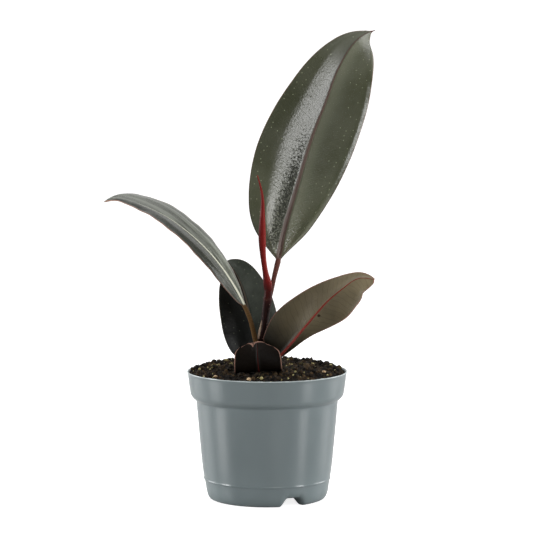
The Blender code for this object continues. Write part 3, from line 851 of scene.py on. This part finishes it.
def arch(x, y, z, spread=0.0):
    """How far the arched channels lift a point of the pot's base or lower wall."""
    bearing = bearing_of(x, y)
    off = min(abs((bearing - c + 180) % 360 - 180) for c in CHANNEL_AZIMUTHS) - spread
    across = smooth_step((CHANNEL_HALF_WIDTH - off) / CHANNEL_SHOULDER)
    inward = smooth_step((math.hypot(x, y) - HUB_RADIUS) / (FOOT_INNER_RADIUS - HUB_RADIUS))
    on_wall = math.hypot(x, y) > FOOT_MIDDLE_RADIUS
    lift = CHANNEL_HEIGHT * max(0.0, 1 - z / CHANNEL_FADE) if on_wall else max(0.0, CHANNEL_HEIGHT - z)
    return across * inward * lift


def rounded(profile, steps=4):
    """The profile with each inner corner replaced by a small arc that starts that far from it."""
    points = np.array([corner[:2] for corner in profile], float)
    result = [points[0]]
    for i in range(1, len(points) - 1):
        before = points[i - 1] - points[i]
        after = points[i + 1] - points[i]
        reach = min(profile[i][2], 0.45 * np.linalg.norm(before), 0.45 * np.linalg.norm(after))
        start = points[i] + unit(before) * reach
        end = points[i] + unit(after) * reach
        for t in np.linspace(0, 1, steps):
            result.append((1 - t) ** 2 * start + 2 * t * (1 - t) * points[i] + t * t * end)
    result.append(points[-1])
    return np.array(result)


def refined(profile, longest):
    """The profile with points added so that no stretch is longer than that."""
    result = [profile[0]]
    for a, b in zip(profile[:-1], profile[1:]):
        count = max(1, math.ceil(np.linalg.norm(b - a) / longest))
        result += [a + (b - a) * t for t in np.linspace(0, 1, count + 1)[1:]]
    return np.array(result)


def wall_profile():
    """(outer points, matching inner points) of the pot's wall."""
    outer = refined(rounded(POT_PROFILE), LONGEST_STRETCH)
    tangents = unit(np.gradient(outer, axis=0))
    inward = np.stack([tangents[:, 1], -tangents[:, 0]], axis=1)
    inner = outer + inward * WALL
    inner[-1, 0] = 0.0
    inner[:, 0] = np.maximum(inner[:, 0], 0.0)
    return outer, inner


def lip_arc(start, end):
    """The half-round lip over the top of the wall."""
    across = unit(start - end)
    upwards = np.array([-across[1], across[0]])
    upwards = upwards if upwards[1] > 0 else -upwards
    angles = np.linspace(0, math.pi, LIP_STEPS)[1:-1]
    return [(start + end) / 2 + (across * math.cos(a) + upwards * math.sin(a)) * WALL / 2 for a in angles]


def make_pot():
    outer, inner = wall_profile()
    lip = lip_arc(outer[0], inner[0])
    section = np.concatenate([outer[::-1], lip, inner])[1:-1]
    outside = np.concatenate([outer[::-1], np.repeat(outer[:1], len(lip), axis=0), outer])[1:-1]
    points = [(0.0, 0.0, FLOOR_HEIGHT), (0.0, 0.0, FLOOR_HEIGHT + WALL)]
    rows = len(section)
    for step in range(POT_STEPS):
        bearing = CHANNEL_AZIMUTHS[0] + 360 * step / POT_STEPS
        wave = LIP_WAVE * noise.noise(Vector((*on_bearing(bearing, 5.0), 3.0)))
        wave += LIP_WAVE * 0.6 * noise.noise(Vector((*on_bearing(bearing, 16.0), 7.0)))
        for (r, z), (near_r, near_z) in zip(section, outside):
            x, y = on_bearing(bearing, r)
            near_x, near_y = on_bearing(bearing, max(near_r, 0.1))
            lift = arch(near_x, near_y, near_z) + wave * smooth_step((z - LIP_WAVE_FROM) / 3.5)
            points.append((x, y, z + lift))
    faces = []
    for step in range(POT_STEPS):
        here, there = 2 + step * rows, 2 + (step + 1) % POT_STEPS * rows
        for k in range(rows - 1):
            faces.append((here + k, there + k, there + k + 1, here + k + 1))
        faces.append((0, there, here))
        faces.append((1, here + rows - 1, there + rows - 1))
    mesh = mesh_of("pot_shell", points, faces)
    face_outwards(mesh)
    mesh = with_drains(mesh)
    mesh.set_sharp_from_angle(angle=math.radians(50))
    return add_piece("pot_shell", mesh, pot_material(), "pot_plastic", "pot")


def with_drains(mesh):
    """The mesh with the round drain holes cut through its floor."""
    body = new_object("pot_blank", mesh)
    radius = DRAIN_DIAMETER / 2
    cutters = []
    for x, y in [(0.0, 0.0)] + [on_bearing(azimuth, DRAIN_CIRCLE_RADIUS) for azimuth in CHANNEL_AZIMUTHS]:
        ring = np.linspace(0, 2 * math.pi, DRAIN_STEPS, endpoint=False)
        points = []
        for z in (FLOOR_HEIGHT - DRAIN_REACH, FLOOR_HEIGHT + DRAIN_REACH):
            points += [(x + radius * math.cos(a), y + radius * math.sin(a), z) for a in ring]
        cutter_mesh = mesh_of("drain_cutter", points, ring_faces(2, DRAIN_STEPS))
        face_outwards(cutter_mesh)
        cutters.append(new_object("drain_cutter", cutter_mesh))
        hole = body.modifiers.new("Drain", "BOOLEAN")
        hole.operation = "DIFFERENCE"
        hole.solver = "EXACT"
        hole.object = cutters[-1]
    graph = bpy.context.evaluated_depsgraph_get()
    cut = bpy.data.meshes.new_from_object(body.evaluated_get(graph))
    for helper in [body, *cutters]:
        bpy.data.objects.remove(helper)
    cut.shade_smooth()
    return cut


# ---------------------------------------------------------------- soil


def soil_height(x, y):
    slope = SOIL_RISE * y / 56
    bumps = math.sin(0.21 * x + 0.9) * math.cos(0.17 * y) + 0.7 * math.sin(0.33 * y - 0.19 * x + 2.0)
    return SOIL_LEVEL + slope + SOIL_ROUGHNESS * bumps * 0.6


def soil_surface(x, y):
    """The crumbly surface: the soil's own level and three sizes of lumps."""
    lumps = 1.0 * noise.noise(Vector((x / 9, y / 9, 1.0)))
    lumps += 1.5 * noise.noise(Vector((x / 4, y / 4, 5.0)))
    lumps += 0.7 * abs(noise.noise(Vector((x / 1.8, y / 1.8, 9.0))))
    edge = smooth_step((math.hypot(x, y) - 53) / (SOIL_RADIUS - 53))
    return soil_height(x, y) + lumps - 1.3 * edge


def empty_store():
    return {"points": [], "faces": [], "tone": []}


def add_ball(store, points, tone):
    """A closed lump whose points are those of the icosphere, moved."""
    start = len(store["points"])
    store["points"] += points
    store["tone"] += [tone] * len(points)
    store["faces"] += [tuple(start + i for i in face) for face in ICO_FACES]


def add_grain(store, centre, size, rng, tone):
    """A rough little lump: an icosphere pushed about by noise."""
    turn = rng.uniform(0, 2 * math.pi, 3)
    offset = Vector(rng.uniform(0, 50, 3))
    spin = Vector((0, 0, 1)).rotation_difference(Vector(np.cos(turn) + 1e-3).normalized())
    points = []
    for corner in ICO_POINTS:
        bulge = 1 + 0.55 * noise.noise(corner * 1.3 + offset)
        point = Vector(corner[i] * size[i] / 2 * bulge for i in range(3))
        point.rotate(spin)
        points.append(Vector(centre) + point)
    add_ball(store, points, tone)


def add_lump(store, centre, size, rng):
    """A grain that fills its box: an icosphere with angular dents."""
    offset = Vector(rng.uniform(0, 50, 3))
    points = []
    for corner in ICO_POINTS:
        dent = 0.92 + 0.18 * noise.noise(corner * 1.6 + offset) + 0.1 * noise.noise(corner * 4 + offset)
        points.append(centre + Vector(corner[i] * size[i] / 2 * dent for i in range(3)))
    add_ball(store, points, 0.0)


def icosphere(subdivisions):
    ball = bmesh.new()
    bmesh.ops.create_icosphere(ball, subdivisions=subdivisions, radius=1.0)
    points = [vertex.co.copy() for vertex in ball.verts]
    faces = [tuple(vertex.index for vertex in face.verts) for face in ball.faces]
    ball.free()
    return points, faces


ICO_POINTS, ICO_FACES = icosphere(2)


def scattered(rng, radius):
    """A random point on the soil, evenly over its area."""
    distance = radius * math.sqrt(rng.uniform(0, 1))
    return on_bearing(rng.uniform(0, 360), distance)


def soil_bed():
    """(points, faces) of the soil: rings of its crumbly surface, then the flank and the bottom."""
    turns = [CHANNEL_AZIMUTHS[0] + 360 * k / SOIL_STEPS for k in range(SOIL_STEPS)]
    points = [(0.0, 0.0, soil_surface(0.0, 0.0))]
    for i in range(1, SOIL_RINGS + 1):
        for turn in turns:
            x, y = on_bearing(turn, SOIL_RADIUS * i / SOIL_RINGS)
            points.append((x, y, soil_surface(x, y)))
    for radius, z in SOIL_UNDERSIDE[:-1]:
        for turn in turns:
            x, y = on_bearing(turn, radius)
            points.append((x, y, z + arch(x, y, z - SOIL_BASE_HEIGHT, SOIL_ARCH_SPREAD)))
    points.append((0.0, 0.0, SOIL_UNDERSIDE[-1][1]))
    last = len(points) - 1
    rows = SOIL_RINGS + len(SOIL_UNDERSIDE) - 1
    base = 1 + (rows - 1) * SOIL_STEPS
    faces = []
    for k in range(SOIL_STEPS):
        following = (k + 1) % SOIL_STEPS
        faces.append((0, 1 + k, 1 + following))
        for here in range(1, base, SOIL_STEPS):
            below = here + SOIL_STEPS
            faces.append((here + k, below + k, below + following, here + following))
        faces.append((base + following, base + k, last))
    return points, faces


def make_soil(rng):
    points, faces = soil_bed()
    store = {"points": points, "faces": faces, "tone": [0.3] * len(points)}
    for _ in range(CRUMBS):
        x, y = scattered(rng, CRUMB_SPREAD)
        if math.hypot(x - STEM_PATH[2][0], y) < STEM_CLEARING:
            continue
        size = SMALLEST_CRUMB + CRUMB_RANGE * rng.uniform(0, 1) ** 3
        sides = (size, size * rng.uniform(0.6, 1), size * rng.uniform(0.5, 0.9))
        lift = size * rng.uniform(0.0, 0.35)
        add_grain(store, (x, y, soil_surface(x, y) + lift), sides, rng, rng.uniform(0, 1))
    for bearing in RIDGE_BEARINGS:
        size = rng.uniform(3.0, 7.5)
        x, y = on_bearing(bearing + rng.uniform(-2, 2), RIDGE_RADIUS - size / 2)
        place = (x, y, soil_surface(x, y) + rng.uniform(-0.2, 0.5))
        add_grain(store, place, (size, size * 0.8, rng.uniform(2.0, 3.4)), rng, rng.uniform(0, 0.8))
    for _ in range(FIBRES):
        add_fibre(store, rng)
    mesh = mesh_of("soil_bed", store["points"], store["faces"])
    put_attribute(mesh, "tone", store["tone"])
    face_outwards(mesh)
    return add_piece("soil_bed", mesh, soil_material(), "potting_soil", "soil")


def add_fibre(store, rng):
    """A short, bent thread of coir lying on the soil."""
    x, y = scattered(rng, FIBRE_SPREAD)
    heading = rng.uniform(0, 2 * math.pi)
    length = rng.uniform(4, 11)
    bend = rng.uniform(-1.2, 1.2)
    start = len(store["points"])
    for i in range(FIBRE_RINGS):
        t = i / (FIBRE_RINGS - 1) - 0.5
        turn = heading + bend * t
        centre = Vector((x + length * t * math.cos(turn), y + length * t * math.sin(turn), 0))
        centre.z = soil_surface(centre.x, centre.y) + 0.7 + 0.8 * math.sin(math.pi * (t + 0.5))
        for k in range(FIBRE_SIDES):
            a = 2 * math.pi * k / FIBRE_SIDES
            offset = Vector((-math.sin(turn) * math.cos(a), math.cos(turn) * math.cos(a), math.sin(a)))
            store["points"].append(centre + offset * FIBRE_RADIUS * (1.2 - abs(t)))
            store["tone"].append(0.9)
    store["faces"] += [tuple(start + i for i in face) for face in ring_faces(FIBRE_RINGS, FIBRE_SIDES)]


def make_bits(rng):
    """The loose grains of the CAD model, each filling its own box, and finer grit between them."""
    skins = {
        "perlite": grit_material("perlite", (0.5, 0.45, 0.22), (0.2, 0.16, 0.05), 0.9),
        "bark": grit_material("bark_chip", (0.7, 0.56, 0.36), (0.34, 0.2, 0.1), 1.6),
    }
    for node in sorted(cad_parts):
        kind = node.split("_")[0]
        if kind in skins:
            low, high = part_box(node)
            store = empty_store()
            add_lump(store, ((low + high) / 2 - AXIS) / MM, (high - low) / MM, rng)
            mesh = mesh_of(node + "_grain", store["points"], store["faces"])
            add_piece(node + "_grain", mesh, skins[kind], kind, node)
    store = empty_store()
    for _ in range(GRIT):
        x, y = scattered(rng, GRIT_SPREAD)
        size = rng.uniform(0.7, 1.9)
        place = (x, y, soil_surface(x, y) + size * 0.55)
        add_grain(store, place, (size, size * 0.85, size * 0.8), rng, 0.0)
    mesh = mesh_of("fine_grit", store["points"], store["faces"])
    add_piece("fine_grit", mesh, skins["perlite"], "perlite")


# ---------------------------------------------------------------- stem, sheath and stipule


def tube(name, path, rings, sides, shape):
    """A tube along a path (x, y, z, radius); shape(share, angle, radius, z) gives the radius at a point."""
    knots = np.array(path, float)
    shares = np.linspace(0, 1, rings)
    centres = along(knots, shares)
    tangents = unit(np.gradient(centres[:, :3], axis=0))
    side = unit(np.cross(tangents, (0.0, 1.0, 0.0)))
    front = np.cross(side, tangents)
    points, angles = [], np.linspace(0, 2 * math.pi, sides, endpoint=False)
    for i in range(rings):
        for angle in angles:
            radius = shape(shares[i], angle, centres[i, 3], centres[i, 2])
            points.append(centres[i, :3] + (side[i] * math.cos(angle) + front[i] * math.sin(angle)) * radius)
    mesh = mesh_of(name, points, ring_faces(rings, sides))
    face_outwards(mesh)
    return mesh, shares, angles, centres


def ring_scar(z):
    return max(math.exp(-(((z - node) / 0.9) ** 2)) for node in LEAF_SCARS)


def make_stem():
    def shape(share, angle, radius, z):
        ridges = 0.05 * math.cos(5 * angle + z / 9) + 0.03 * math.cos(9 * angle - z / 5)
        lumps = 0.08 * noise.noise(Vector((math.cos(angle), math.sin(angle), z / 5)))
        return radius * (1 + (ridges + lumps) * 0.5 + 0.09 * ring_scar(z))

    mesh, _, angles, centres = tube("stem_wood", STEM_PATH, 180, 36, shape)
    heights = np.repeat(centres[:, 2], len(angles))
    put_attribute(mesh, "scar", [ring_scar(z) for z in heights])
    put_attribute(mesh, "young", smooth_step((heights - 143) / 12))
    return add_piece("stem_wood", mesh, stem_material(), "stem_bark", "stem")


def make_sheath():
    def shape(share, angle, radius, z):
        seam = math.exp(-((((angle - 0.9 - 2.2 * share) % (2 * math.pi)) / 0.35) ** 2))
        flat = 0.07 * math.cos(2 * (angle - 0.4 - 1.5 * share))
        return radius * (1 + flat - 0.14 * seam)

    mesh, shares, angles, _ = tube("sheath_skin", SHEATH_PATH, 150, 40, shape)
    blush = [0.5 + 0.5 * math.cos(a - 2.6) for _ in shares for a in angles]
    put_attribute(mesh, "blush", blush)
    put_attribute(mesh, "foot", np.repeat(1 - smooth_step(np.array(shares) / 0.13), len(angles)))
    return add_piece("sheath_skin", mesh, sheath_material(), "sheath_skin", "terminal_sheath")


def make_dry_stipule():
    def shape(share, angle, radius, z):
        curl = 0.35 * math.cos(2 * angle - 3 * share) + 0.12 * noise.noise(Vector((angle, z / 2, 0)))
        return radius * (0.85 + curl)

    mesh, *_ = tube("dry_stipule_skin", DRY_STIPULE_PATH, 60, 20, shape)
    return add_piece("dry_stipule_skin", mesh, dry_material(), "dry_stipule_skin", "dry_stipule")


# ---------------------------------------------------------------- leaves


def per_half(left, base_and_tip, share):
    """The left or right half's value at each point, from (left, right) at the base and at the tip."""
    base, tip = np.array(base_and_tip, float)
    values = base + (tip - base) * share
    return np.where(left, values[:, :1], values[:, 1:])


def blade_lift(leaf, u, width, fold, share, lengths):
    """How far the middle of the blade rises at each point, off the plane across its midrib."""
    left = u < 0
    far = np.abs(u)
    crown = per_half(left, leaf["crown"], smooth_step(share / 0.5))
    lift = width * np.sin(fold) * (far * (1 + crown) - crown * far**2)
    (left_curl, left_from), (right_curl, right_from) = leaf["curl"]
    curl_from = np.where(left, left_from, right_from)
    curl = np.where(left, left_curl, right_curl) * np.minimum(1, width / 15)
    lift -= curl * smooth_step((far - curl_from) / (1 - curl_from))
    swell, wavelength = leaf["ripple"]
    wave = np.sin(2 * math.pi * lengths / wavelength + np.where(left, 0.7, 2.9))
    wave += 0.5 * np.sin(5.1 * math.pi * lengths / wavelength + np.where(left, 2.1, 0.4))
    lift += swell * wave * far**3 * np.minimum(1, width / 12)
    for place, breadth, height in leaf["pleats"]:
        drift = place * (1 + 0.12 * np.sin(3 * math.pi * share))
        lift += height * np.exp(-(((u - drift) / breadth) ** 2)) * np.minimum(1, width / 12)
    return lift


def leaf_skin(leaf):
    """Points of the leaf, one ring for each station, and the surface coordinates of each point."""
    spine = np.array((leaf["joint"],) + leaf["spine"], float)
    reach = chord_reach(spine)
    start = reach[leaf["blade_from"] + 1]
    petiole = np.linspace(0, start, PETIOLE_STATIONS, endpoint=False)
    blade = start + (1 - start) * (0.5 - 0.5 * np.cos(np.linspace(0, math.pi, BLADE_STATIONS)))
    stations = np.concatenate([petiole, blade])
    centres = along(spine, stations)
    tangents = unit(along(spine, stations + 1e-3) - along(spine, stations - 1e-3))
    lengths = np.concatenate([[0], np.cumsum(np.linalg.norm(np.diff(centres, axis=0), axis=1))])
    lengths -= lengths[PETIOLE_STATIONS]
    share = np.clip((stations - start) / (1 - start), 0, 1)
    outline = np.array(leaf["blade"], float)
    halves = np.maximum(natural_cubic(outline[:, 0], outline[:, 1:], share), 0)

    first = reach[1]  # the CAD leaf starts here, and its facing is measured from there
    turned = np.clip((stations - first) / (1 - first), 0, 1)[:, None]
    at_base, at_tip = np.array(leaf["facing"], float)
    side = unit(np.cross(tangents, at_base + (at_tip - at_base) * turned))
    up = unit(np.cross(side, tangents))

    radius = np.where(
        stations < start,
        np.interp(stations, (0, first, start), (leaf["petiole"][0] * PETIOLE_FLARE, *leaf["petiole"])),
        np.interp(share, (0, 1), (leaf["petiole"][1], RIB_END_RADIUS)),
    )[:, None]
    t = np.linspace(-1, 1, ACROSS)
    row = np.sign(t) * np.abs(t) ** CROWDING
    u = np.concatenate([row, row[::-1]])[None, :]
    upper = np.concatenate([np.ones(ACROSS), np.zeros(ACROSS)])[None, :]
    left = u < 0

    turn = math.pi * (1 - (np.arange(2 * ACROSS) + 0.5) / ACROSS)[None, :]
    round_x, round_z = radius * np.cos(turn), radius * np.sin(turn)

    width = np.maximum(np.where(left, halves[:, :1], halves[:, 1:]), radius * 0.6)
    fold = per_half(left, np.radians(leaf["fold"]), share[:, None])
    far = np.abs(u)
    across = width * u
    lift = blade_lift(leaf, u, width, fold, share[:, None], lengths[:, None])
    half = 0.5 * (BLADE_THICKNESS + (MARGIN_THICKNESS - BLADE_THICKNESS) * far**3)
    cord = np.exp(-((across / (0.9 * radius)) ** 2))
    groove = np.exp(-(((np.abs(across) - 1.5 * radius) / (0.7 * radius)) ** 2))
    rib_upper = radius * (0.22 * cord - 0.1 * groove)
    rib_under = radius * 1.1 * np.exp(-((across / (1.1 * radius)) ** 2))
    flat_x = across * np.cos(fold)
    flat_z = lift + np.where(upper > 0, half + rib_upper, -half - rib_under)

    blend = smooth_step(halves.max(axis=1, keepdims=True) / (2.5 * leaf["petiole"][1]))
    x = round_x + (flat_x - round_x) * blend
    z = round_z + (flat_z - round_z) * blend
    points = centres[:, None, :] + side[:, None, :] * x[..., None] + up[:, None, :] * z[..., None]
    corners, notch_place, notch = leaf["tip"]
    cut = corners * far**3 + notch * np.exp(-np.abs(u - notch_place) / 0.11)
    near_tip = smooth_step((share[:, None] - 0.72) / 0.28)
    points -= tangents[:, None, :] * (cut * near_tip)[..., None]
    ones = np.ones_like(x)
    return points, {
        "across": across * blend,
        "along": lengths[:, None] * ones,
        "share": share[:, None] * ones,
        "edge": np.minimum(width * (1 - far), lengths[-1] - lengths[:, None] + leaf["tip"][0] * far**3 * 0.2),
        "rib": np.abs(across) / radius,
        "upper": upper * ones,
        "blade": blend * ones,
    }


def make_leaf(name):
    points, attributes = leaf_skin({**PLAIN_LEAF, **LEAVES[name]})
    rings, around = points.shape[:2]
    mesh = mesh_of(name + "_skin", points.reshape(-1, 3), ring_faces(rings, around))
    for key, values in attributes.items():
        put_attribute(mesh, key, values.reshape(-1))
    face_outwards(mesh)
    mesh.set_sharp_from_angle(angle=math.radians(60))
    material = leaf_material(name + "_skin", {**PLAIN_LOOK, **LEAF_LOOKS[name]})
    return add_piece(name + "_skin", mesh, material, name + "_skin", name)


# ---------------------------------------------------------------- stage, lamps and camera


def make_stage():
    ring = np.linspace(0, 2 * math.pi, FLOOR_STEPS, endpoint=False)
    points = [(FLOOR_RADIUS * math.cos(a), FLOOR_RADIUS * math.sin(a), FLOOR_LEVEL) for a in ring]
    floor = new_object("floor", mesh_of("floor", points, [tuple(range(FLOOR_STEPS))]))
    paint = Paint("pale_floor", 0.9, 0.1)
    paint.set("Base Color", FLOOR_GREY)
    paint.set("Emission Color", WHITE)
    seen = paint.node("ShaderNodeLightPath").outputs["Is Camera Ray"]
    paint.set("Emission Strength", paint.times(seen, FLOOR_GLOW))
    floor.data.materials.append(paint.material)


def make_surroundings():
    """A white studio: bright behind the object, dim on the camera's side, and plain white where seen."""
    world = bpy.data.worlds.new("studio")
    bpy.context.scene.world = world
    world.use_nodes = True
    studio = Nodes(world.node_tree)
    studio.tree.nodes.clear()
    direction = studio.apart(studio.node("ShaderNodeTexCoord").outputs["Generated"])
    brightness = studio.step(direction["Y"], *STUDIO_RISE, *STUDIO_BRIGHTNESS)
    lighting = studio.node("ShaderNodeBackground", {"Color": WHITE, "Strength": brightness})
    backdrop = studio.node("ShaderNodeBackground", {"Color": WHITE, "Strength": 1.0})
    seen = studio.node("ShaderNodeLightPath").outputs["Is Camera Ray"]
    both = studio.node("ShaderNodeMixShader", {0: seen, 1: lighting.outputs[0], 2: backdrop.outputs[0]})
    studio.node("ShaderNodeOutputWorld", {"Surface": both.outputs[0]})


def in_frame(point):
    return AXIS + Vector(point) * MM


def look_along(obj, start, target):
    obj.location = in_frame(start)
    obj.rotation_euler = (in_frame(target) - in_frame(start)).to_track_quat("-Z", "Y").to_euler()


def make_lamps():
    for name, (bearing, distance, centre, width, height, radiance) in LAMPS.items():
        light = bpy.data.lights.new(name, "AREA")
        light.shape = "RECTANGLE"
        light.size = width * MM
        light.size_y = height * MM
        light.energy = radiance * math.pi * light.size * light.size_y
        look_along(new_object(name, light), (*on_bearing(bearing, distance), centre), LAMP_AIM)


def make_camera():
    data = bpy.data.cameras.new("camera")
    data.lens = CAMERA_LENS
    data.sensor_width = SENSOR
    data.clip_start, data.clip_end = 0.1, 100.0
    camera = new_object("camera", data)
    look_along(camera, CAMERA_PLACE, CAMERA_TARGET)
    bpy.context.scene.camera = camera


def main():
    rng = np.random.default_rng(SEED)
    make_pot()
    make_soil(rng)
    make_bits(rng)
    make_stem()
    make_sheath()
    make_dry_stipule()
    for name in LEAVES:
        make_leaf(name)
    make_stage()
    make_surroundings()
    make_lamps()
    make_camera()
    bpy.context.scene.view_settings.view_transform = "Standard"


main()
